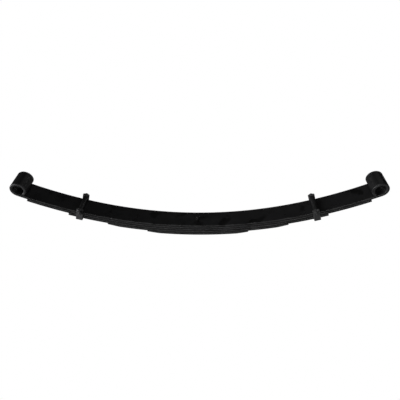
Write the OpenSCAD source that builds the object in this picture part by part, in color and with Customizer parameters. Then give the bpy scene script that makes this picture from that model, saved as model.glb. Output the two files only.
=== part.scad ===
// Multi-leaf semi-elliptic leaf spring, ends up.
// The leaves are concentric arcs that lie one below the other. A centre bolt holds them
// together, and a bolted clip near each end keeps the three longest leaves in line.
// Origin: middle of the underside of the shortest leaf, on the axis of the centre bolt.
// +X runs along the spring towards the rear eye, +Y across it, +Z up.

/* [Leaves] */
// Width of every leaf
leaf_width = 63.5; // [50:0.5:80]
// Thickness of every leaf
leaf_thickness = 8.2; // [6:0.1:10]
// Bevel along the edges of every leaf and strap, where the rolled bar is rounded
leaf_edge = 1.2; // [1:0.1:2]
// Gap that paint leaves between two leaves
leaf_gap = 0.3; // [0.3:0.1:1]
// Radius of the upper face of the main leaf
arch_radius = 1150; // [1000:10:1400]
// Half length of the main leaf along its upper face, from the centre to below the eye
main_half_length = 556.4; // [530:1:600]
// Half length of the second leaf
second_half_length = 526; // [500:1:528]
// Half length of the third leaf
third_half_length = 402; // [390:1:450]
// Half length of the fourth leaf
fourth_half_length = 282; // [220:1:320]
// Half length of the fifth leaf
fifth_half_length = 158; // [100:1:200]
// Length over which the fourth and the fifth leaf get thinner towards their ends
taper_length = 38; // [20:1:60]
// Thickness that is left at a tapered end
taper_tip = 4; // [2:0.5:6]

/* [Eyes] */
// Bore of each rolled eye
eye_bore = 31.75; // [25:0.25:40]
// How far round the leaf is rolled to make an eye, in degrees
eye_roll = 308; // [280:1:308]

/* [Centre bolt] */
// Diameter of the shank of the centre bolt
center_shank = 9.5; // [8:0.5:12]
// Diameter of the round locating head below the leaves
center_head = 15.875; // [14:0.125:20]
// Height of the round locating head
center_head_height = 8; // [5:0.5:12]
// Width of the centre nut across its flats
center_nut_flats = 14.3; // [14:0.1:20]
// Height of the centre nut
center_nut_height = 6.5; // [5:0.5:10]

/* [Clips] */
// Distance of each clip from the centre, along the upper face of the main leaf
clip_place = 368; // [340:1:375]
// Width of the strap along the spring
strap_width = 20; // [16:0.5:28]
// Thickness of the strap
strap_thickness = 6; // [4:0.5:8]
// Height of the bolt's axis above the main leaf
clip_bolt_height = 7.5; // [7.5:0.5:14]
// How far the ears of the strap reach above the bolt's axis
ear_reach = 8.5; // [7:0.5:12]
// Radius of the two corners of each ear
ear_corner = 2; // [1:0.5:8]
// Diameter of the clip bolt
clip_bolt = 8; // [6:0.5:8]
// Outer diameter of the spacer tube
spacer_diameter = 14; // [11:0.5:14]

/* [Hidden] */

// How fine the large arcs and the small round shapes are drawn
arch_steps = 360;
round_steps = 64;

// Each leaf lies one pitch below the one above it
pitch = leaf_thickness + leaf_gap;
pack_height = 4 * pitch + leaf_thickness;
arch_center_z = pack_height + arch_radius;

// The bore of an eye dips this far into the leaf, so that its faces cross and don't just touch
eye_dip = 0.05;
// How far the roll of an eye runs back into the leaf below it, in degrees
eye_run_in = 2;

// Hole for the centre bolt in each leaf, and the length of thread above the nut
center_hole = center_shank + 1;
center_thread_end = 3.5;
thread_chamfer = 1;
nut_clearance = 0.3;

// Clip: play between the strap and the leaves at the sides and below, and its inner bend
side_play = 0.6;
under_play = 0.4;
strap_bend = 2.2;
strap_inner = leaf_width / 2 + side_play;
strap_outer = strap_inner + strap_thickness;
strap_floor = -(2 * pitch + leaf_thickness + under_play);
clip_play = 0.3;

// Clip rivet: shank, round head below the strap, flush head in the third leaf
rivet_radius = 4;
rivet_head_radius = 7;
rivet_head_height = 4;
flush_head_radius = 6.5;
flush_head_height = 3;
third_leaf_top = -2 * pitch;

// Clip bolt fittings
hex_flats = 13;
hex_head_height = 5.3;
clip_nut_height = 6.5;
washer_radius = 8;
washer_thickness = 1.6;
clip_thread_end = 2.5;

steel_color = [0.09, 0.09, 0.095];

// ---- shared shapes ----

// Puts a shape drawn around the arch's centre, in its own XY plane, into the XZ plane
module around_arch() {
    translate([0, 0, arch_center_z]) rotate([90, 0, 0]) children();
}

// Places a shape on the main leaf's upper face, this far along it towards the rear, with +Z
// square to the leaf
module on_arch(along) {
    turn = along / arch_radius * 180 / PI;
    translate([0, 0, arch_center_z]) rotate([0, -turn, 0]) translate([0, 0, -arch_radius])
        children();
}

// A shape at the rear end, and its mirror image at the front end
module both_ends() {
    children();
    mirror([1, 0, 0]) children();
}

// Cross-section of a leaf that is bent to this inner radius, with bevelled edges
module leaf_section(inner) {
    half = leaf_width / 2;
    outer = inner + leaf_thickness;
    polygon([
        [inner + leaf_edge, -half], [outer - leaf_edge, -half],
        [outer, -half + leaf_edge], [outer, half - leaf_edge],
        [outer - leaf_edge, half], [inner + leaf_edge, half],
        [inner, half - leaf_edge], [inner, -half + leaf_edge]
    ]);
}

// A curved strip: the leaf that lies this many leaves below the main leaf
module arc_strip(index, half_length) {
    half_angle = half_length / arch_radius * 180 / PI;
    around_arch()
        rotate([0, 0, -90 - half_angle])
            rotate_extrude(angle = 2 * half_angle, $fn = arch_steps)
                leaf_section(arch_radius + index * pitch);
}

module center_bolt_hole() {
    translate([0, 0, -1])
        cylinder(d = center_hole, h = pack_height + 2, $fn = round_steps);
}

// What is cut from the underside of a leaf to taper its rear end
module taper_cut(index, half_length) {
    outer_radius = arch_radius + index * pitch + leaf_thickness;
    rise = outer_radius - sqrt(outer_radius * outer_radius - taper_length * taper_length);
    top = -index * pitch;
    margin = 10;
    on_arch(half_length)
        rotate([90, 0, 0])
            linear_extrude(height = leaf_width + 2, center = true)
                polygon([
                    [-taper_length, top - leaf_thickness + rise],
                    [0, top - taper_tip],
                    [margin, top - taper_tip],
                    [margin, top - leaf_thickness - margin],
                    [-taper_length, top - leaf_thickness - margin]
                ]);
}

module tapered_leaf(index, half_length) {
    difference() {
        arc_strip(index, half_length);
        both_ends() taper_cut(index, half_length);
        center_bolt_hole();
    }
}

module hex_prism(flats, height) {
    cylinder(d = flats / cos(30), h = height, $fn = 6);
}

// ---- leaves ----

// Places a shape on the axis of the rear eye, which runs along +Z there, with -Y pointing at
// the leaf below
module on_rear_eye() {
    on_arch(main_half_length)
        translate([0, 0, eye_bore / 2 - eye_dip])
            rotate([90, 0, 0])
                children();
}

// The end of the main leaf, rolled up and over, before the bore is cut
module rolled_end() {
    half = leaf_width / 2;
    outer_radius = eye_bore / 2 + leaf_thickness;
    reach = 2 * outer_radius;
    roll_end = eye_roll - 90;
    roll_start = 270 - eye_run_in;
    difference() {
        rotate_extrude($fn = round_steps * 2)
            polygon([
                [0, -half], [outer_radius - leaf_edge, -half],
                [outer_radius, -half + leaf_edge], [outer_radius, half - leaf_edge],
                [outer_radius - leaf_edge, half], [0, half]
            ]);
        linear_extrude(height = leaf_width + 2, center = true)
            polygon([
                [0, 0],
                for (turn = [roll_end, (roll_end + roll_start) / 2, roll_start])
                    reach * [cos(turn), sin(turn)]
            ]);
    }
}

// The bore of an eye, with the bevel at both of its mouths
module eye_hole() {
    half = leaf_width / 2;
    radius = eye_bore / 2;
    mouth = radius + leaf_edge + 1;
    rotate_extrude($fn = round_steps * 2)
        polygon([
            [0, -half - 1], [mouth, -half - 1], [radius, -half + leaf_edge],
            [radius, half - leaf_edge], [mouth, half + 1], [0, half + 1]
        ]);
}

module main_leaf() {
    color(steel_color)
        difference() {
            union() {
                arc_strip(0, main_half_length);
                both_ends() on_rear_eye() rolled_end();
            }
            both_ends() on_rear_eye() eye_hole();
            center_bolt_hole();
        }
}

module second_leaf() {
    color(steel_color)
        difference() {
            arc_strip(1, second_half_length);
            center_bolt_hole();
        }
}

module third_leaf() {
    color(steel_color)
        difference() {
            arc_strip(2, third_half_length);
            center_bolt_hole();
            both_ends() on_arch(clip_place) rivet_hole();
        }
}

module fourth_leaf() {
    color(steel_color) tapered_leaf(3, fourth_half_length);
}

module fifth_leaf() {
    color(steel_color) tapered_leaf(4, fifth_half_length);
}

// ---- centre bolt ----

module center_bolt() {
    top = pack_height + nut_clearance + center_nut_height + center_thread_end;
    color(steel_color) {
        translate([0, 0, -center_head_height])
            cylinder(d = center_head, h = center_head_height, $fn = round_steps);
        cylinder(d = center_shank, h = top - thread_chamfer, $fn = round_steps);
        translate([0, 0, top - thread_chamfer])
            cylinder(d1 = center_shank, d2 = center_shank - 2 * thread_chamfer,
                     h = thread_chamfer, $fn = round_steps);
    }
}

module center_nut() {
    color(steel_color)
        translate([0, 0, pack_height + nut_clearance])
            difference() {
                hex_prism(center_nut_flats, center_nut_height);
                translate([0, 0, -1])
                    cylinder(d = center_shank + 0.1, h = center_nut_height + 2, $fn = round_steps);
            }
}

// ---- clips, each drawn on the main leaf's upper face with +Z square to the leaf ----

// Hole for the rivet in the third leaf, with room for the rivet's flush head
module rivet_hole() {
    translate([0, 0, third_leaf_top - leaf_thickness - 1])
        cylinder(r = rivet_radius + clip_play, h = leaf_thickness + 2, $fn = round_steps);
    translate([0, 0, third_leaf_top - flush_head_height - 2 * clip_play])
        cylinder(r1 = rivet_radius + clip_play, r2 = flush_head_radius + 2 * clip_play,
                 h = flush_head_height + 2 * clip_play, $fn = round_steps);
    translate([0, 0, third_leaf_top - 0.01])
        cylinder(r = flush_head_radius + 2 * clip_play, h = 1, $fn = round_steps);
}

// A rectangle that stands on its rounded lower corners
module round_bottomed(half_width, low, high, corner) {
    translate([-half_width, low + corner])
        square([2 * half_width, high - low - corner]);
    translate([-half_width + corner, low])
        square([2 * (half_width - corner), high - low]);
    for (side = [-1, 1])
        translate([side * (half_width - corner), low + corner])
            circle(r = corner, $fn = round_steps);
}

module clip_strap() {
    strap_base = strap_floor - strap_thickness;
    ear_top = clip_bolt_height + ear_reach;
    difference() {
        intersection() {
            rotate([90, 0, 90])
                linear_extrude(height = strap_width, center = true)
                    difference() {
                        round_bottomed(strap_outer, strap_base, ear_top, strap_bend + strap_thickness);
                        round_bottomed(strap_inner, strap_floor, ear_top + 1, strap_bend);
                    }
            rotate([90, 0, 0])
                linear_extrude(height = 2 * strap_outer + 2, center = true)
                    mirror([0, 1])
                        round_bottomed(strap_width / 2, -ear_top, 1 - strap_base, ear_corner);
        }
        translate([0, 0, clip_bolt_height])
            rotate([90, 0, 0])
                cylinder(d = clip_bolt + 0.8, h = 2 * strap_outer + 2, center = true,
                         $fn = round_steps);
        translate([0, 0, strap_base - 1])
            cylinder(r = rivet_radius, h = strap_thickness + 2, $fn = round_steps);
    }
}

module clip_rivet() {
    strap_base = strap_floor - strap_thickness;
    flush_base = third_leaf_top - clip_play - flush_head_height;
    translate([0, 0, strap_base])
        cylinder(r = rivet_radius, h = flush_base - strap_base, $fn = round_steps);
    translate([0, 0, flush_base])
        cylinder(r1 = rivet_radius, r2 = flush_head_radius, h = flush_head_height,
                 $fn = round_steps);
    translate([0, 0, strap_base - rivet_head_height])
        cylinder(r1 = rivet_head_radius - 3, r2 = rivet_head_radius, h = rivet_head_height,
                 $fn = round_steps);
}

// Puts a shape that points along its own +Z on the bolt's axis, this far from the middle of the
// leaves. It points at the side where the nut is (-Y).
module on_clip_bolt(distance) {
    translate([0, -distance, clip_bolt_height]) rotate([90, 0, 0]) children();
}

module clip_bolt_piece() {
    shank_end = strap_outer + washer_thickness + clip_nut_height + clip_thread_end;
    on_clip_bolt(-strap_outer - hex_head_height)
        hex_prism(hex_flats, hex_head_height);
    on_clip_bolt(-strap_outer)
        cylinder(d = clip_bolt, h = strap_outer + shank_end, $fn = round_steps);
}

module ring(outer_radius, inner_radius, height) {
    difference() {
        cylinder(r = outer_radius, h = height, $fn = round_steps);
        translate([0, 0, -1]) cylinder(r = inner_radius, h = height + 2, $fn = round_steps);
    }
}

module clip_washer() {
    on_clip_bolt(strap_outer)
        ring(washer_radius, clip_bolt / 2 + 0.3, washer_thickness);
}

module clip_nut() {
    on_clip_bolt(strap_outer + washer_thickness)
        difference() {
            hex_prism(hex_flats, clip_nut_height);
            translate([0, 0, -1])
                cylinder(d = clip_bolt + 0.1, h = clip_nut_height + 2, $fn = round_steps);
        }
}

module clip_spacer() {
    on_clip_bolt(-strap_inner)
        ring(spacer_diameter / 2, clip_bolt / 2 + 0.3, 2 * strap_inner);
}

module at_rear_clip() {
    color(steel_color) on_arch(clip_place) children();
}

module at_front_clip() {
    color(steel_color) mirror([1, 0, 0]) on_arch(clip_place) children();
}

module front_clip_strap() { at_front_clip() clip_strap(); }
module front_clip_rivet() { at_front_clip() clip_rivet(); }
module front_clip_bolt() { at_front_clip() clip_bolt_piece(); }
module front_clip_washer() { at_front_clip() clip_washer(); }
module front_clip_nut() { at_front_clip() clip_nut(); }
module front_clip_spacer() { at_front_clip() clip_spacer(); }
module rear_clip_strap() { at_rear_clip() clip_strap(); }
module rear_clip_rivet() { at_rear_clip() clip_rivet(); }
module rear_clip_bolt() { at_rear_clip() clip_bolt_piece(); }
module rear_clip_washer() { at_rear_clip() clip_washer(); }
module rear_clip_nut() { at_rear_clip() clip_nut(); }
module rear_clip_spacer() { at_rear_clip() clip_spacer(); }

main_leaf();
second_leaf();
third_leaf();
fourth_leaf();
fifth_leaf();
center_bolt();
center_nut();
front_clip_strap();
front_clip_rivet();
front_clip_bolt();
front_clip_washer();
front_clip_nut();
front_clip_spacer();
rear_clip_strap();
rear_clip_rivet();
rear_clip_bolt();
rear_clip_washer();
rear_clip_nut();
rear_clip_spacer();
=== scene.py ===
"""The looks of a five-leaf leaf spring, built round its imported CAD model.

Everything is in metres, in the CAD model's frame: +X along the spring towards the rear eye, +Y across
the leaves, +Z up, origin below the middle of the pack on the centre bolt's axis.
"""

import math

import bmesh
import bpy
import numpy as np
from mathutils import Matrix, Vector


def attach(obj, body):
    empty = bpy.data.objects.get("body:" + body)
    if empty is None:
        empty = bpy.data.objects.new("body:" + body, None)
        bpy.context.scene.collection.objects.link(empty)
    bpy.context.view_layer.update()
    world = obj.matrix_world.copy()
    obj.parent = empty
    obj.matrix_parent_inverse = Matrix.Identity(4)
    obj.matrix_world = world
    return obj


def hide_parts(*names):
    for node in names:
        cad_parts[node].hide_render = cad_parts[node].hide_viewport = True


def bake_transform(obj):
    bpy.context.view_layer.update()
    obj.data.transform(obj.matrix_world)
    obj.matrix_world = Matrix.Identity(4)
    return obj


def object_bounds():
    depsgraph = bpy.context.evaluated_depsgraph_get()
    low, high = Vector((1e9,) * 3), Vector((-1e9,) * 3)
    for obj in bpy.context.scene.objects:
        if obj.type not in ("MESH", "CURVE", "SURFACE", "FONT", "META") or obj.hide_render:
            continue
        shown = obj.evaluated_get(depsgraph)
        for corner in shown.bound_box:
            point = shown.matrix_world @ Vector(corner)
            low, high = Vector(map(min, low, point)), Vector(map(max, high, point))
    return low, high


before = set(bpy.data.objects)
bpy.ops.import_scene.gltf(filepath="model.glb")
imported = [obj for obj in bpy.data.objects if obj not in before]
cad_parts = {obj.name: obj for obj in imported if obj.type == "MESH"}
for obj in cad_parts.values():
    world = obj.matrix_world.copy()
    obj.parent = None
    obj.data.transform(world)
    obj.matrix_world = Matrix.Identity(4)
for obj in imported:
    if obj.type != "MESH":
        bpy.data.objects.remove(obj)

CAD_LOW, CAD_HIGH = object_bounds()

# ---- sizes, in metres ----

MM = 0.001
# Less than any distance that matters
TINY = 0.001 * MM
LEAF_WIDTH = 63.5 * MM
LEAF_THICKNESS = 8.2 * MM
LEAF_GAP = 0.3 * MM
PITCH = LEAF_THICKNESS + LEAF_GAP
PACK_HEIGHT = 4 * PITCH + LEAF_THICKNESS
ARCH_RADIUS = 1150 * MM
ARCH_CENTER = np.array([0, 0, PACK_HEIGHT + ARCH_RADIUS])
# The leaves from the top down, with their half lengths along the upper face of the main leaf
LEAVES = {
    "main_leaf": 556.4 * MM,
    "second_leaf": 526 * MM,
    "third_leaf": 402 * MM,
    "fourth_leaf": 282 * MM,
    "fifth_leaf": 158 * MM,
}
MAIN_HALF = LEAVES["main_leaf"]
# The fourth and the fifth leaf get thinner towards their ends
FIRST_TAPERED = 3
TAPER_LENGTH = 38 * MM
TAPER_TIP = 4 * MM
# The leaves' long edges are rounded, and so are the corners of their ends in plan
EDGE_RADIUS = 2.6 * MM
END_RADIUS = 1.1 * MM
CORNER_RADIUS = 1.5 * MM
# How far wear reaches from a rounded edge over the wide faces and over the thin sides of a bar
FACE_WEAR_REACH = 3 * MM
SIDE_WEAR_REACH = 1.2 * MM
# The edge values on the ends and in the bores of the eyes, for a painted highlight on the ends and
# painted light in the bores, and how far into the roll they are reached
EYE_END_HIGHLIGHT = 2.0
EYE_BORE_LIGHT = 1.6
EYE_LIGHT_RUN_IN = 16 * MM
# How far apart the paint's pattern puts two leaves
LEAF_SPREAD = 500 * MM

EYE_RADIUS = 31.75 / 2 * MM
EYE_ROLL = math.radians(308)

# How far apart the mesh's rings of points are along the leaves and round the eyes
LEAF_RING_STEP = 4 * MM
EYE_RING_STEP = 1.4 * MM
# Steps in which the leaves' corners in plan, the edges of all ends, and the strap's corners and bends
# are rounded
CORNER_STEPS = 6
END_STEPS = 4
EAR_STEPS = 8
# Points round a hexagon
HEX_POINTS = 96

CLIP_PLACE = 368 * MM
STRAP_WIDTH = 20 * MM
STRAP_THICKNESS = 6 * MM
# Play between the leaves and the strap's ears, and between the third leaf and its floor
EAR_PLAY = 0.6 * MM
FLOOR_PLAY = 0.6 * MM
STRAP_INNER = LEAF_WIDTH / 2 + EAR_PLAY
STRAP_OUTER = STRAP_INNER + STRAP_THICKNESS
STRAP_FLOOR = -(2 * PITCH + LEAF_THICKNESS + FLOOR_PLAY)
STRAP_BEND = 2.2 * MM
STRAP_EDGE_RADIUS = 0.9 * MM
CLIP_BOLT_HEIGHT = 7.5 * MM
EAR_TOP = CLIP_BOLT_HEIGHT + 8.5 * MM
EAR_CORNER = 2 * MM
EAR_END_RADIUS = 0.7 * MM
CLIP_BOLT_RADIUS = 4 * MM
CLIP_THREAD_PITCH = 1.25 * MM
# The thread starts inside the near ear, and its end is this far past the nut
CLIP_THREAD_START = STRAP_OUTER - 2 * MM
CLIP_THREAD_END = 2.5 * MM
# Play of the spacer and the washer round the bolt
SLEEVE_PLAY = 0.3 * MM
SPACER_RADIUS = 7 * MM
SPACER_CHAMFER = 0.5 * MM
HEX_FLATS = 13 * MM
HEX_HEAD_HEIGHT = 5.3 * MM
CLIP_NUT_HEIGHT = 6.5 * MM
WASHER_RADIUS = 8 * MM
WASHER_THICKNESS = 1.6 * MM
WASHER_CHAMFER = 0.2 * MM
RIVET_RADIUS = 4 * MM
RIVET_HEAD_RADIUS = 7 * MM
RIVET_HEAD_HEIGHT = 4 * MM
# The rivet's other end lies this far below the third leaf's upper face
RIVET_SUNK = 0.4 * MM

CENTER_HEAD_RADIUS = 15.875 / 2 * MM
CENTER_HEAD_HEIGHT = 8 * MM
CENTER_HEAD_CHAMFER = 0.8 * MM
CENTER_SHANK_RADIUS = 4.75 * MM
CENTER_THREAD_PITCH = 1.06 * MM
CENTER_THREAD_END = 3.5 * MM
CENTER_NUT_FLATS = 14.3 * MM
CENTER_NUT_HEIGHT = 6.5 * MM
NUT_SEAT_GAP = 0.3 * MM
NUT_SEAT = PACK_HEIGHT + NUT_SEAT_GAP

# A nut's hole is wider than its bolt by the first of these, and by the second too at its mouths
NUT_PLAY = 0.05 * MM
COUNTERSINK = 0.7 * MM
# The round face of a head or a nut, as a share of its width across the flats, and the slope at which
# its corners fall away from there
HEX_FACE_SHARE = 0.955
HEX_CORNER_SLOPE = math.radians(30)
# A bolt head has a second ring of points this far above its seat
HEAD_FOOT = 0.15 * MM
# A thread's depth as a share of its pitch
THREAD_DEPTH_SHARE = 0.61
TIP_CHAMFER = 0.9 * MM

# Faces that meet at more than these angles, in degrees, keep a sharp corner
BAR_SHARP_ANGLE = 38
FASTENER_SHARP_ANGLE = 25

# The light that reaches the spring from the white floor and from the white background
FLOOR_BRIGHTNESS = 0.08
WORLD_BRIGHTNESS = 0.003
FLOOR_SIZE = 40
FLOOR_DROP = 0.5 * MM
# The lights face this place
LIGHT_AIM = Vector((0, 0, 80 * MM))

COLLECTION = bpy.context.scene.collection


# ---- materials ----


class Nodes:
    """A node tree that is built one node at a time."""

    def __init__(self, material):
        material.use_nodes = True
        self.tree = material.node_tree
        self.shader = self.tree.nodes["Principled BSDF"]

    def add(self, kind, **settings):
        node = self.tree.nodes.new(kind)
        for name, value in settings.items():
            setattr(node, name, value)
        return node

    def link(self, output, target):
        self.tree.links.new(output, target)

    def noise(self, vector, scale, detail=3.0, roughness=0.55):
        node = self.add("ShaderNodeTexNoise")
        node.inputs["Scale"].default_value = scale
        node.inputs["Detail"].default_value = detail
        node.inputs["Roughness"].default_value = roughness
        self.link(vector, node.inputs["Vector"])
        return node.outputs["Fac"]

    def stretched(self, vector, scale):
        node = self.add("ShaderNodeMapping")
        node.inputs["Scale"].default_value = scale
        self.link(vector, node.inputs["Vector"])
        return node.outputs["Vector"]

    def spread(self, value, low, high, to_low=0.0, to_high=1.0):
        """value, from low..high, spread over to_low..to_high."""
        node = self.add("ShaderNodeMapRange")
        node.inputs["From Min"].default_value = low
        node.inputs["From Max"].default_value = high
        node.inputs["To Min"].default_value = to_low
        node.inputs["To Max"].default_value = to_high
        self.link(value, node.inputs["Value"])
        return node.outputs["Result"]

    def math(self, operation, a, b):
        """Either of a and b can be a number or an output."""
        node = self.add("ShaderNodeMath", operation=operation)
        for socket, value in zip(node.inputs, (a, b)):
            if isinstance(value, (int, float)):
                socket.default_value = value
            else:
                self.link(value, socket)
        return node.outputs["Value"]

    def mix(self, factor, a, b):
        """Colour a where factor is 0 and colour b where it is 1. Either can be an output."""
        node = self.add("ShaderNodeMix", data_type="RGBA")
        self.link(factor, node.inputs["Factor"])
        for socket, value in ((node.inputs["A"], a), (node.inputs["B"], b)):
            if isinstance(value, tuple):
                socket.default_value = (*value, 1)
            else:
                self.link(value, socket)
        return node.outputs["Result"]

    def bump(self, height, distance, strength, under=None):
        """The normal with this height on it, on top of the normal under it."""
        node = self.add("ShaderNodeBump")
        node.inputs["Distance"].default_value = distance
        node.inputs["Strength"].default_value = strength
        self.link(height, node.inputs["Height"])
        if under is not None:
            self.link(under, node.inputs["Normal"])
        return node.outputs["Normal"]


def black_paint(name, dark, light, worn_and_lit, gloss, peel=0.3, grain=0.5):
    """Semi-gloss black paint on rolled steel: cloudy in colour and in gloss, with darker patches, fine
    specks, orange peel and faint lines along the bar. It is scuffed lighter where the mesh's edge
    attribute is 1.
    Where that is above 1, on the eyes' ends and in their bores, it is lighter still, as a painted
    highlight on the ends and painted light in the bores. The mesh's own place attribute carries it, so
    that it stays put when the leaves bend."""
    patch_colour = (0.004, 0.004, 0.004)
    material = bpy.data.materials.new(name)
    n = Nodes(material)
    place = n.add("ShaderNodeAttribute", attribute_name="place").outputs["Vector"]
    cloud = n.noise(place, scale=16, detail=5, roughness=0.6)
    colour = n.mix(n.spread(cloud, 0.36, 0.66), dark, light)
    blotches = n.noise(place, scale=17, detail=3, roughness=0.5)
    colour = n.mix(n.spread(blotches, 0.57, 0.63, to_high=0.85), colour, patch_colour)

    edge = n.add("ShaderNodeAttribute", attribute_name="edge").outputs["Fac"]
    # Edge values above 1, on the eyes' ends and in their bores, mix in more of the lighter colour: a
    # painted highlight on the ends and painted light in the bores
    painted_light_lift = n.math("MULTIPLY", n.math("SUBTRACT", edge, 1.0), 0.12)
    streaks = n.noise(n.stretched(place, (0.3, 1, 1)), scale=110)
    chips_and_painted_light = n.spread(n.math("ADD", streaks, painted_light_lift), 0.42, 0.70)
    wear_and_painted_light = n.math("MULTIPLY", n.math("MINIMUM", edge, 1.0), chips_and_painted_light)
    colour = n.mix(n.math("MULTIPLY", wear_and_painted_light, 0.8), colour, worn_and_lit)
    specks = n.noise(place, scale=650, detail=2)
    colour = n.mix(n.spread(specks, 0.66, 0.74, to_high=0.5), colour, worn_and_lit)
    n.link(colour, n.shader.inputs["Base Color"])

    haze = n.noise(place, scale=28, detail=5, roughness=0.6)
    haze = n.spread(haze, 0.32, 0.68, gloss - 0.07, gloss + 0.08)
    n.link(n.math("ADD", haze, n.math("MULTIPLY", wear_and_painted_light, 0.15)), n.shader.inputs["Roughness"])
    n.shader.inputs["Specular IOR Level"].default_value = 0.5
    n.shader.inputs["Metallic"].default_value = 0.0

    lines = n.noise(n.stretched(place, (9, 700, 700)), scale=1)
    normal = n.bump(n.noise(place, scale=45, detail=4), 0.6 * MM, 0.3)
    normal = n.bump(lines, 0.05 * MM, grain, normal)
    normal = n.bump(n.noise(place, scale=520, detail=2), 0.07 * MM, peel, normal)
    n.link(normal, n.shader.inputs["Normal"])
    return material


LEAF_PAINT = black_paint(
    "leaf_paint", (0.0170, 0.0170, 0.0178), (0.0270, 0.0270, 0.0280), (0.080, 0.080, 0.082), 0.31
)
CLIP_PAINT = black_paint(
    "clip_paint", (0.075, 0.075, 0.077), (0.108, 0.108, 0.110), (0.240, 0.240, 0.242), 0.36
)
BOLT_PAINT = black_paint(
    "bolt_paint", (0.016, 0.016, 0.0165), (0.026, 0.026, 0.0267), (0.080, 0.079, 0.077), 0.42,
    peel=0.2, grain=0.0,
)


# ---- mesh helpers ----


def finish_mesh(
    name, vertices, faces, material, body, node, slot, edge=None, place=None, sharp=BAR_SHARP_ANGLE
):
    """A closed mesh with smooth faces and sharp corners, as a piece that stands for a CAD node. It rides
    on body, unless that is None. place is where the paint's pattern puts each point, if that isn't where
    the point is."""
    mesh = bpy.data.meshes.new(name)
    mesh.from_pydata([tuple(v) for v in vertices], [], faces)
    bm = bmesh.new()
    bm.from_mesh(mesh)
    bmesh.ops.recalc_face_normals(bm, faces=bm.faces)
    bm.to_mesh(mesh)
    bm.free()
    mesh.shade_smooth()
    mesh.set_sharp_from_angle(angle=math.radians(sharp))
    attribute = mesh.attributes.new("edge", "FLOAT", "POINT")
    values = np.zeros(len(vertices)) if edge is None else np.asarray(edge, float)
    attribute.data.foreach_set("value", values.astype(np.float32))
    places = np.asarray(vertices if place is None else place, np.float32)
    mesh.attributes.new("place", "FLOAT_VECTOR", "POINT").data.foreach_set("vector", places.ravel())
    mesh.materials.append(material)
    piece = bpy.data.objects.new(name, mesh)
    COLLECTION.objects.link(piece)
    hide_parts(node)
    if body is not None:
        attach(piece, body)
    return piece


def side_quads(rows, count, closed=False):
    """Quads between successive rings of count points each, and back to the first ring if closed."""
    faces = []
    for i in range(rows if closed else rows - 1):
        a = i * count
        b = (i + 1) % rows * count
        for k in range(count):
            m = (k + 1) % count
            faces.append((a + k, a + m, b + m, b + k))
    return faces


def capped_quads(rows, count):
    """Quads between successive rings of count points each, and a cap at both ends."""
    last = (rows - 1) * count
    first_cap = tuple(reversed(range(count)))
    last_cap = tuple(last + k for k in range(count))
    return [first_cap] + side_quads(rows, count) + [last_cap]


def bar_outline(half, top, bottom, radius, steps=4):
    """Cross-section of a bar with rounded edges, as points (across, depth) and how near each is to an
    edge. Depth runs from top down to bottom. Each flat has a point near either edge, where wear ends."""
    # Where the bar runs out at a rounded end, all of these shrink with it
    radius = min(radius, 0.49 * (bottom - top), 0.95 * half)
    side = min(SIDE_WEAR_REACH, 0.3 * (bottom - top - 2 * radius) + TINY)
    face = min(FACE_WEAR_REACH, 0.3 * (half - radius) + TINY)
    # Centre of each corner, the angle where its arc starts, and the step from its end along the flat
    corners = (
        (-half + radius, top + radius, 180, (face, 0)),
        (half - radius, top + radius, 90, (0, side)),
        (half - radius, bottom - radius, 0, (-face, 0)),
        (-half + radius, bottom - radius, -90, (0, -side)),
    )

    def on_corner(corner, degrees):
        across, depth, start, _ = corner
        turn = math.radians(start - degrees)
        return across + radius * math.cos(turn), depth - radius * math.sin(turn)

    points, edge = [], []
    for corner, following in zip(corners, corners[1:] + corners[:1]):
        for k in range(steps + 1):
            points.append(on_corner(corner, 90 * k / steps))
            edge.append(1.0 if 0 < k < steps else 0.75)
        step = corner[3]
        after = points[-1]
        before = on_corner(following, 0)
        points.append((after[0] + step[0], after[1] + step[1]))
        points.append((before[0] - step[0], before[1] - step[1]))
        edge += [0.0, 0.0]
    return np.array(points), np.array(edge)


def rounding_steps(radius, steps):
    """Distances left to an end where its rounded corner takes a ring of points."""
    return [radius * (1 - math.sin(math.pi / 2 * k / steps)) for k in range(steps + 1)]


def draw_in(radius, left):
    """How far an outline with this corner radius has drawn in where this distance is left."""
    if left >= radius:
        return 0.0
    return radius - math.sqrt(max(0.0, radius * radius - (radius - left) ** 2))


def in_order(places):
    """The places from low to high, each once, to a tenth of a micrometre."""
    return sorted(set(round(p, 7) for p in places))


def lathe(profile, steps=48):
    """A closed solid of revolution about +Z from points (radius, height). Both ends are on the axis, or
    the profile is a closed loop round a hole."""
    on_axis = profile[0][0] < TINY
    body = profile[1:-1] if on_axis else profile
    vertices = []
    for radius, height in body:
        for k in range(steps):
            turn = 2 * math.pi * k / steps
            vertices.append((radius * math.cos(turn), radius * math.sin(turn), height))
    rows = len(body)
    faces = side_quads(rows, steps, closed=not on_axis)
    if on_axis:
        for row, (_, height) in ((0, profile[0]), (rows - 1, profile[-1])):
            vertices.append((0, 0, height))
            for k in range(steps):
                faces.append((row * steps + k, row * steps + (k + 1) % steps, len(vertices) - 1))
    return np.array(vertices), faces


def sleeve(hole, rim, length, chamfer):
    """A tube from 0 to length along +Z, with all its edges chamfered."""
    profile = [
        (hole, chamfer), (hole + chamfer, 0), (rim - chamfer, 0), (rim, chamfer),
        (rim, length - chamfer), (rim - chamfer, length), (hole + chamfer, length),
        (hole, length - chamfer),
    ]
    return lathe(profile)


def ring(radii, heights):
    """A ring of points round the Z axis. radii and heights have one value for each point."""
    turn = 2 * math.pi * np.arange(len(radii)) / len(radii)
    return np.stack([radii * np.cos(turn), radii * np.sin(turn), heights], 1)


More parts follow.
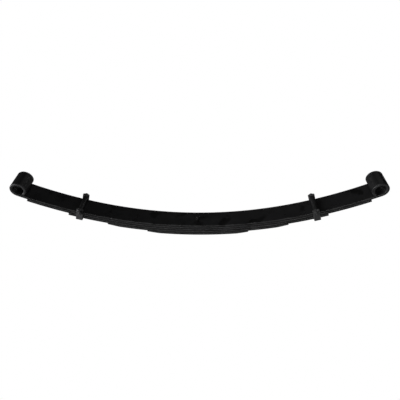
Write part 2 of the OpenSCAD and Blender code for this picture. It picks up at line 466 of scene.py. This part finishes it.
def hex_outline(flats):
    """A hexagon's outline, the round face that its corners are turned off to, and how far below that face
    the outline lies, each with one value for each point round it."""
    turn = 2 * math.pi * np.arange(HEX_POINTS) / HEX_POINTS
    sector = math.pi / 3
    radii = flats / 2 / np.cos((turn + sector / 2) % sector - sector / 2)
    face = np.full(HEX_POINTS, HEX_FACE_SHARE * flats / 2)
    return radii, face, math.tan(HEX_CORNER_SLOPE) * np.maximum(0.0, radii - face)


def hex_head(flats, height):
    """A bolt's hexagon head from 0 to height along +Z, with the corners of its top turned off."""
    radii, face, fall = hex_outline(flats)
    level = np.zeros(HEX_POINTS)
    rings = [
        ring(radii, level),
        ring(radii, level + HEAD_FOOT),
        ring(radii, height - fall),
        ring(face, level + height),
    ]
    return np.concatenate(rings), capped_quads(len(rings), HEX_POINTS)


def hex_nut(flats, height, bolt_radius):
    """A hexagon nut from 0 to height along +Z, with the corners of both faces turned off and its hole
    countersunk at both mouths."""
    radii, face, fall = hex_outline(flats)
    level = np.zeros(HEX_POINTS)
    hole = level + bolt_radius + NUT_PLAY
    sink = hole + COUNTERSINK
    rings = [
        ring(face, level),
        ring(radii, fall),
        ring(radii, height - fall),
        ring(face, level + height),
        ring(sink, level + height),
        ring(hole, level + height - COUNTERSINK),
        ring(hole, level + COUNTERSINK),
        ring(sink, level),
    ]
    return np.concatenate(rings), side_quads(len(rings), HEX_POINTS, closed=True)


def threaded_end(radius, thread_pitch, start, end, steps=32, rings_a_turn=10):
    """A threaded stretch of a bolt from start to end along +Z, with a chamfered tip: one closed solid
    whose radius follows the thread round and up."""
    depth = THREAD_DEPTH_SHARE * thread_pitch
    rows = int((end - start) / thread_pitch * rings_a_turn)
    vertices = []
    for i in range(rows + 1):
        height = start + (end - start) * i / rows
        limit = radius - max(0.0, height - (end - TIP_CHAMFER))
        for k in range(steps):
            share = (height / thread_pitch - k / steps) % 1.0
            ridge = 1 - abs(2 * share - 1)
            # The crest is flat over a fifth of the pitch
            r = min(radius - depth * (1 - min(1.0, 1.25 * ridge)), limit)
            turn = 2 * math.pi * k / steps
            vertices.append((r * math.cos(turn), r * math.sin(turn), height))
    return np.array(vertices), capped_quads(rows + 1, steps)


def joined(*shapes):
    """Several closed shapes as one list of points and faces."""
    vertices, faces, first = [], [], 0
    for points, polygons in shapes:
        vertices.append(np.asarray(points))
        faces += [tuple(i + first for i in f) for f in polygons]
        first += len(points)
    return np.concatenate(vertices), faces


def moved(shape, matrix):
    """The shape after a 4x4 matrix."""
    points, faces = shape
    m = np.array(matrix)
    return np.asarray(points) @ m[:3, :3].T + m[:3, 3], faces


# ---- leaves ----


def on_arch(side, angle, points, depth_from):
    """Points (across, depth) of a cross-section, placed at an angle from the middle of the arch. side is
    1 towards the rear and -1 towards the front."""
    reach = ARCH_RADIUS + depth_from + points[:, 1]
    return np.stack(
        [side * reach * math.sin(angle), points[:, 0], ARCH_CENTER[2] - reach * math.cos(angle)], 1
    )


def round_eye(side, turn, points):
    """Points (across, depth) of a cross-section, placed round the eye, this far round its roll."""
    start = MAIN_HALF / ARCH_RADIUS
    center = ARCH_RADIUS - EYE_RADIUS
    cx, cz = center * math.sin(start), ARCH_CENTER[2] - center * math.cos(start)
    reach = EYE_RADIUS + points[:, 1]
    direction = start - math.pi / 2 + turn
    return np.stack(
        [side * (cx + reach * math.cos(direction)), points[:, 0], cz + reach * math.sin(direction)], 1
    )


def eye_wear_and_light(points, edge, distance):
    """The edge values of a cross-section this far into the roll of an eye: its edges keep their values,
    and its ends and its bore get higher ones, for a painted highlight on the ends and painted light in
    the bore."""
    margin = 0.1 * MM
    at_end = np.abs(points[:, 0]) > LEAF_WIDTH / 2 - EDGE_RADIUS - margin
    in_bore = points[:, 1] < END_RADIUS + margin
    # The ends and the bore get values above 1: a painted highlight on the ends and painted light in the
    # bore
    worn_and_lit = np.where(at_end, EYE_END_HIGHLIGHT, np.where(in_bore, EYE_BORE_LIGHT, edge))
    return edge + (worn_and_lit - edge) * min(1.0, distance / EYE_LIGHT_RUN_IN)


def taper(index, half_length, distance):
    """How much thinner a leaf is at this distance from its middle: more and more quickly to its tip."""
    taper_from = half_length - TAPER_LENGTH
    if index < FIRST_TAPERED or distance <= taper_from:
        return 0.0
    share = (distance - taper_from) / TAPER_LENGTH
    return (LEAF_THICKNESS - TAPER_TIP) * (share * share * 0.25 + share * 0.75)


def arch_rings(index, half_length, side):
    """Rings of half a leaf along the arch, each as (cross-section, edge values, points, distance). The
    main leaf goes on into its eye, and the others have a rounded end."""
    if index == 0:
        distances = np.arange(0, half_length - TINY, LEAF_RING_STEP)
    else:
        distances = list(np.arange(0, half_length - CORNER_RADIUS - TINY, LEAF_RING_STEP))
        rounded = rounding_steps(CORNER_RADIUS, CORNER_STEPS) + rounding_steps(END_RADIUS, END_STEPS)
        distances += [half_length - left for left in rounded]
    if index >= FIRST_TAPERED:
        # One ring where the taper begins, and one just past it
        taper_from = half_length - TAPER_LENGTH
        distances += [taper_from, taper_from + 2 * MM]
    for s in in_order(distances):
        left = math.inf if index == 0 else half_length - s
        thickness = LEAF_THICKNESS - taper(index, half_length, s)
        half = LEAF_WIDTH / 2 - draw_in(CORNER_RADIUS, left)
        inset = draw_in(END_RADIUS, left)
        points, edge = bar_outline(half, inset, thickness - inset, EDGE_RADIUS)
        yield points, edge, on_arch(side, s / ARCH_RADIUS, points, index * PITCH), s


def eye_rings(side):
    """Rings of the main leaf round its eye, in the form that arch_rings has."""
    middle = EYE_RADIUS + LEAF_THICKNESS / 2
    length = EYE_ROLL * middle
    rounded = rounding_steps(CORNER_RADIUS, CORNER_STEPS) + rounding_steps(END_RADIUS, END_STEPS)
    distances = list(np.arange(0, length - CORNER_RADIUS, EYE_RING_STEP))
    distances += [length - left for left in rounded]
    for s in in_order(distances):
        half = LEAF_WIDTH / 2 - draw_in(CORNER_RADIUS / 2, length - s)
        inset = draw_in(END_RADIUS, length - s)
        points, edge = bar_outline(half, inset, LEAF_THICKNESS - inset, EDGE_RADIUS)
        # These edge values paint a highlight on the eye's ends and light in its bore
        yield points, eye_wear_and_light(points, edge, s), round_eye(side, s / middle, points), MAIN_HALF + s


def add_half_leaf(name, index, half_length, end, side):
    """Front or rear half of a leaf, from the middle of the pack to its end or round its eye."""
    rings = list(arch_rings(index, half_length, side))
    if index == 0:
        rings += eye_rings(side)
    sections, edges, vertices, distances = zip(*rings)
    places = [
        np.stack([np.full(len(p), side * s), p[:, 0], p[:, 1] + index * LEAF_SPREAD], 1)
        for p, s in zip(sections, distances)
    ]
    piece = finish_mesh(
        f"{name}_{end}", np.concatenate(vertices), capped_quads(len(rings), len(sections[0])),
        LEAF_PAINT, None, name, "leaf_paint", np.concatenate(edges), np.concatenate(places),
    )
    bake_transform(piece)


ENDS = (("front", -1), ("rear", 1))

for number, (leaf, half_span) in enumerate(LEAVES.items()):
    for end_name, direction in ENDS:
        add_half_leaf(leaf, number, half_span, end_name, direction)


# ---- clips ----


def clip_frame(side):
    """Matrix of the clip's own frame: origin on the main leaf's upper face, +Z square to the leaf, +Y
    across, +X along the leaf towards the rear."""
    turn = side * CLIP_PLACE / ARCH_RADIUS
    center = Matrix.Translation(Vector(ARCH_CENTER))
    return center @ Matrix.Rotation(-turn, 4, "Y") @ Matrix.Translation((0, 0, -ARCH_RADIUS))


def strap_route():
    """Stations along the middle of half the strap, from the near ear's top to under the leaves, each as
    (across, up, direction across, direction up, distance left to the ear's top)."""
    middle = STRAP_INNER + STRAP_THICKNESS / 2
    bend = STRAP_BEND + STRAP_THICKNESS / 2
    base = STRAP_FLOOR - STRAP_THICKNESS / 2
    # Beyond the ear's rounded top, the distance left doesn't matter
    far_off = 1.0
    corners = rounding_steps(EAR_CORNER, EAR_STEPS) + rounding_steps(EAR_END_RADIUS, END_STEPS)
    ear = [EAR_TOP - left for left in in_order(corners)]
    straight = list(np.linspace(EAR_TOP - EAR_CORNER, base + bend, 12)[1:])
    stations = [(-middle, up, -1.0, 0.0, EAR_TOP - up) for up in ear + straight]
    for k in range(1, EAR_STEPS + 1):
        turn = math.radians(180 + 90 * k / EAR_STEPS)
        across = bend * math.cos(turn) - middle + bend
        up = bend * math.sin(turn) + base + bend
        stations.append((across, up, math.cos(turn), math.sin(turn), far_off))
    stations += [(y, base, 0.0, -1.0, far_off) for y in np.linspace(-middle + bend, 0, 6)[1:]]
    return stations


def strap_shape():
    """The strap: a flat bar bent into a U, with rounded corners at its ears. Swept from the near ear's
    top, under the leaves, to the far ear's top. Also how near each point is to an edge."""
    near = strap_route()
    far = [(-y, up, -dy, dz, left) for y, up, dy, dz, left in reversed(near[:-1])]
    rings, edges = [], []
    for y, up, dy, dz, left in near + far:
        depth = STRAP_THICKNESS / 2 - draw_in(EAR_END_RADIUS, left)
        half = STRAP_WIDTH / 2 - draw_in(EAR_CORNER, left)
        points, edge = bar_outline(half, -depth, depth, STRAP_EDGE_RADIUS, steps=3)
        rings.append(np.stack([points[:, 0], y + dy * points[:, 1], up + dz * points[:, 1]], 1))
        edges.append(edge)
    return (np.concatenate(rings), capped_quads(len(rings), len(rings[0]))), np.concatenate(edges)


def dome(radius, height, steps=8):
    """Half outline of a domed head: points (radius, height) from the rim to the axis."""
    sphere = (radius * radius + height * height) / (2 * height)
    angle = math.asin(radius / sphere)
    turns = [angle * (1 - k / steps) for k in range(steps + 1)]
    return [(sphere * math.sin(t), sphere * math.cos(t) + height - sphere) for t in turns]


def rivet_shape():
    """The rivet, head down: its round head below the strap, and its shank up through the third leaf."""
    base = STRAP_FLOOR - STRAP_THICKNESS
    head = [(r, base - h) for r, h in dome(RIVET_HEAD_RADIUS, RIVET_HEAD_HEIGHT)]
    top = -2 * PITCH - RIVET_SUNK
    profile = list(reversed(head)) + [(RIVET_RADIUS, base), (RIVET_RADIUS, top), (0.0, top)]
    return lathe(profile)


def along_bolt(distance):
    """Matrix that lays +Z along the clip bolt towards its nut (-Y), this far from the middle."""
    lift = Matrix.Translation((0, -distance, CLIP_BOLT_HEIGHT))
    return lift @ Matrix.Rotation(math.pi / 2, 4, "X")


def bolt_shape():
    """The clip bolt: its head on the far ear, and its thread through the near ear and past the nut."""
    nut_end = STRAP_OUTER + WASHER_THICKNESS + CLIP_NUT_HEIGHT
    # The shank starts this far inside the head
    inside = 0.3 * MM
    head = moved(
        hex_head(HEX_FLATS, HEX_HEAD_HEIGHT),
        Matrix.Translation((0, 0, -STRAP_OUTER)) @ Matrix.Rotation(math.pi, 4, "X"),
    )
    shank = lathe([
        (0.0, -STRAP_OUTER - inside), (CLIP_BOLT_RADIUS, -STRAP_OUTER - inside),
        (CLIP_BOLT_RADIUS, CLIP_THREAD_START), (0.0, CLIP_THREAD_START),
    ], 32)
    thread = threaded_end(
        CLIP_BOLT_RADIUS, CLIP_THREAD_PITCH, CLIP_THREAD_START, nut_end + CLIP_THREAD_END
    )
    return moved(joined(head, shank, thread), along_bolt(0))


def washer_shape():
    washer = sleeve(CLIP_BOLT_RADIUS + SLEEVE_PLAY, WASHER_RADIUS, WASHER_THICKNESS, WASHER_CHAMFER)
    return moved(washer, along_bolt(STRAP_OUTER))


def nut_shape():
    nut = hex_nut(HEX_FLATS, CLIP_NUT_HEIGHT, CLIP_BOLT_RADIUS)
    return moved(nut, along_bolt(STRAP_OUTER + WASHER_THICKNESS))


def spacer_shape():
    """The tube between the ears."""
    tube = sleeve(CLIP_BOLT_RADIUS + SLEEVE_PLAY, SPACER_RADIUS, 2 * STRAP_INNER, SPACER_CHAMFER)
    return moved(tube, along_bolt(-STRAP_INNER))


def add_clip(end, side):
    """One clip: the strap, and the fasteners that hold and close it."""
    place = clip_frame(side)
    body = f"{end}_clip"
    strap, edges = strap_shape()
    finish_mesh(
        f"{end}_clip_strap_painted", *moved(strap, place), CLIP_PAINT, body, f"{end}_clip_strap",
        "clip_paint", edges,
    )
    for kind, shape, material, slot in (
        ("rivet", rivet_shape(), CLIP_PAINT, "clip_paint"),
        ("spacer", spacer_shape(), BOLT_PAINT, "bolt_paint"),
        ("bolt", bolt_shape(), CLIP_PAINT, "clip_paint"),
        ("washer", washer_shape(), CLIP_PAINT, "clip_paint"),
        ("nut", nut_shape(), CLIP_PAINT, "clip_paint"),
    ):
        finish_mesh(
            f"{end}_clip_{kind}_painted", *moved(shape, place), material, body, f"{end}_clip_{kind}",
            slot, sharp=FASTENER_SHARP_ANGLE,
        )


for end_name, direction in ENDS:
    add_clip(end_name, direction)


# ---- centre bolt ----


def center_bolt_shape():
    """Round locating head below the pack, shank through the leaves, thread from just below the nut's
    seat to above the nut."""
    thread_start = NUT_SEAT - MM
    thread_end = NUT_SEAT + CENTER_NUT_HEIGHT + CENTER_THREAD_END
    body = lathe([
        (0.0, -CENTER_HEAD_HEIGHT),
        (CENTER_HEAD_RADIUS - CENTER_HEAD_CHAMFER, -CENTER_HEAD_HEIGHT),
        (CENTER_HEAD_RADIUS, CENTER_HEAD_CHAMFER - CENTER_HEAD_HEIGHT),
        (CENTER_HEAD_RADIUS, 0.0),
        (CENTER_SHANK_RADIUS, 0.0),
        (CENTER_SHANK_RADIUS, thread_start),
        (0.0, thread_start),
    ], 64)
    thread = threaded_end(CENTER_SHANK_RADIUS, CENTER_THREAD_PITCH, thread_start, thread_end)
    return joined(body, thread)


def center_nut_shape():
    nut = hex_nut(CENTER_NUT_FLATS, CENTER_NUT_HEIGHT, CENTER_SHANK_RADIUS)
    return moved(nut, Matrix.Translation((0, 0, NUT_SEAT)))


for fastener, form in (("bolt", center_bolt_shape()), ("nut", center_nut_shape())):
    finish_mesh(
        f"center_{fastener}_painted", *form, BOLT_PAINT, "axle_seat", f"center_{fastener}",
        "bolt_paint", sharp=FASTENER_SHARP_ANGLE,
    )


# ---- stage, light and camera ----


def dimmed_white(tree, kind, output, brightness):
    """Plain white to the camera, and this bright to everything else."""
    shaders = []
    for strength in (brightness, 1.0):
        shader = tree.nodes.new(kind)
        shader.inputs["Color"].default_value = (1, 1, 1, 1)
        shader.inputs["Strength"].default_value = strength
        shaders.append(shader)
    path = tree.nodes.new("ShaderNodeLightPath")
    choose = tree.nodes.new("ShaderNodeMixShader")
    tree.links.new(path.outputs["Is Camera Ray"], choose.inputs["Fac"])
    tree.links.new(shaders[0].outputs[0], choose.inputs[1])
    tree.links.new(shaders[1].outputs[0], choose.inputs[2])
    tree.links.new(choose.outputs["Shader"], tree.nodes[output].inputs["Surface"])


def add_floor():
    """A plain white floor, just below the spring."""
    material = bpy.data.materials.new("floor_white")
    material.use_nodes = True
    material.node_tree.nodes.remove(material.node_tree.nodes["Principled BSDF"])
    dimmed_white(material.node_tree, "ShaderNodeEmission", "Material Output", FLOOR_BRIGHTNESS)
    bpy.ops.mesh.primitive_plane_add(size=FLOOR_SIZE, location=(0, 0, CAD_LOW.z - FLOOR_DROP))
    floor = bpy.context.object
    floor.name = "floor"
    floor.data.materials.append(material)


def add_world():
    """A plain white background."""
    world = bpy.data.worlds.new("studio")
    bpy.context.scene.world = world
    world.use_nodes = True
    world.node_tree.nodes.remove(world.node_tree.nodes["Background"])
    dimmed_white(world.node_tree, "ShaderNodeBackground", "World Output", WORLD_BRIGHTNESS)


def add_softbox(name, place, size, brightness):
    """A soft area light that faces the spring, this wide and high, with this radiance."""
    data = bpy.data.lights.new(name, "AREA")
    data.shape = "RECTANGLE"
    data.size, data.size_y = size
    data.energy = math.pi * size[0] * size[1] * brightness
    light = bpy.data.objects.new(name, data)
    COLLECTION.objects.link(light)
    light.location = place
    light.rotation_euler = (LIGHT_AIM - Vector(place)).to_track_quat("-Z", "Y").to_euler()


def add_camera():
    """Looks down on the spring from the front, from a little over a metre away."""
    focal_pixels, image_pixels, sensor = 360.0, 400, 36
    tilt, yaw, roll = (math.radians(a) for a in (41.5, -2.99, -1.90))
    distance = 1109.9 * MM
    aim = np.array([9.7, 0, 124.0]) * MM
    forward = np.array(
        [math.sin(yaw) * math.cos(tilt), math.cos(yaw) * math.cos(tilt), -math.sin(tilt)]
    )
    level = np.array([math.cos(yaw), -math.sin(yaw), 0])
    above = np.cross(level, forward)
    right = level * math.cos(roll) + above * math.sin(roll)
    up = above * math.cos(roll) - level * math.sin(roll)
    data = bpy.data.cameras.new("camera")
    data.sensor_width = sensor
    data.lens = focal_pixels / image_pixels * sensor
    data.clip_start = 10 * MM
    camera = bpy.data.objects.new("camera", data)
    COLLECTION.objects.link(camera)
    turn = Matrix([list(v) for v in np.stack([right, up, -forward], 1)]).to_4x4()
    camera.matrix_world = Matrix.Translation(Vector(aim - distance * forward)) @ turn
    bpy.context.scene.camera = camera


add_floor()
add_world()
add_softbox("key", (-2.4, -0.9, 0.45), (1.2, 1.5), 7.4)
add_softbox("front", (0, -2.6, 0.3), (1.8, 0.8), 0.9)
add_softbox("right", (1.3, -2.2, 0.3), (1.2, 1.2), 0.8)
add_softbox("over_camera", (0, -1.41, 1.77), (0.5, 0.5), 5.5)
add_softbox("back_left", (-1.0, 1.7, 1.75), (1.6, 1.6), 0.03)
add_softbox("back_right", (1.0, 1.7, 1.75), (1.6, 1.6), 0.14)
add_softbox("rear", (0, 3.2, 0.1), (3.0, 0.3), 6.0)
add_camera()
bpy.context.scene.view_settings.view_transform = "Standard"
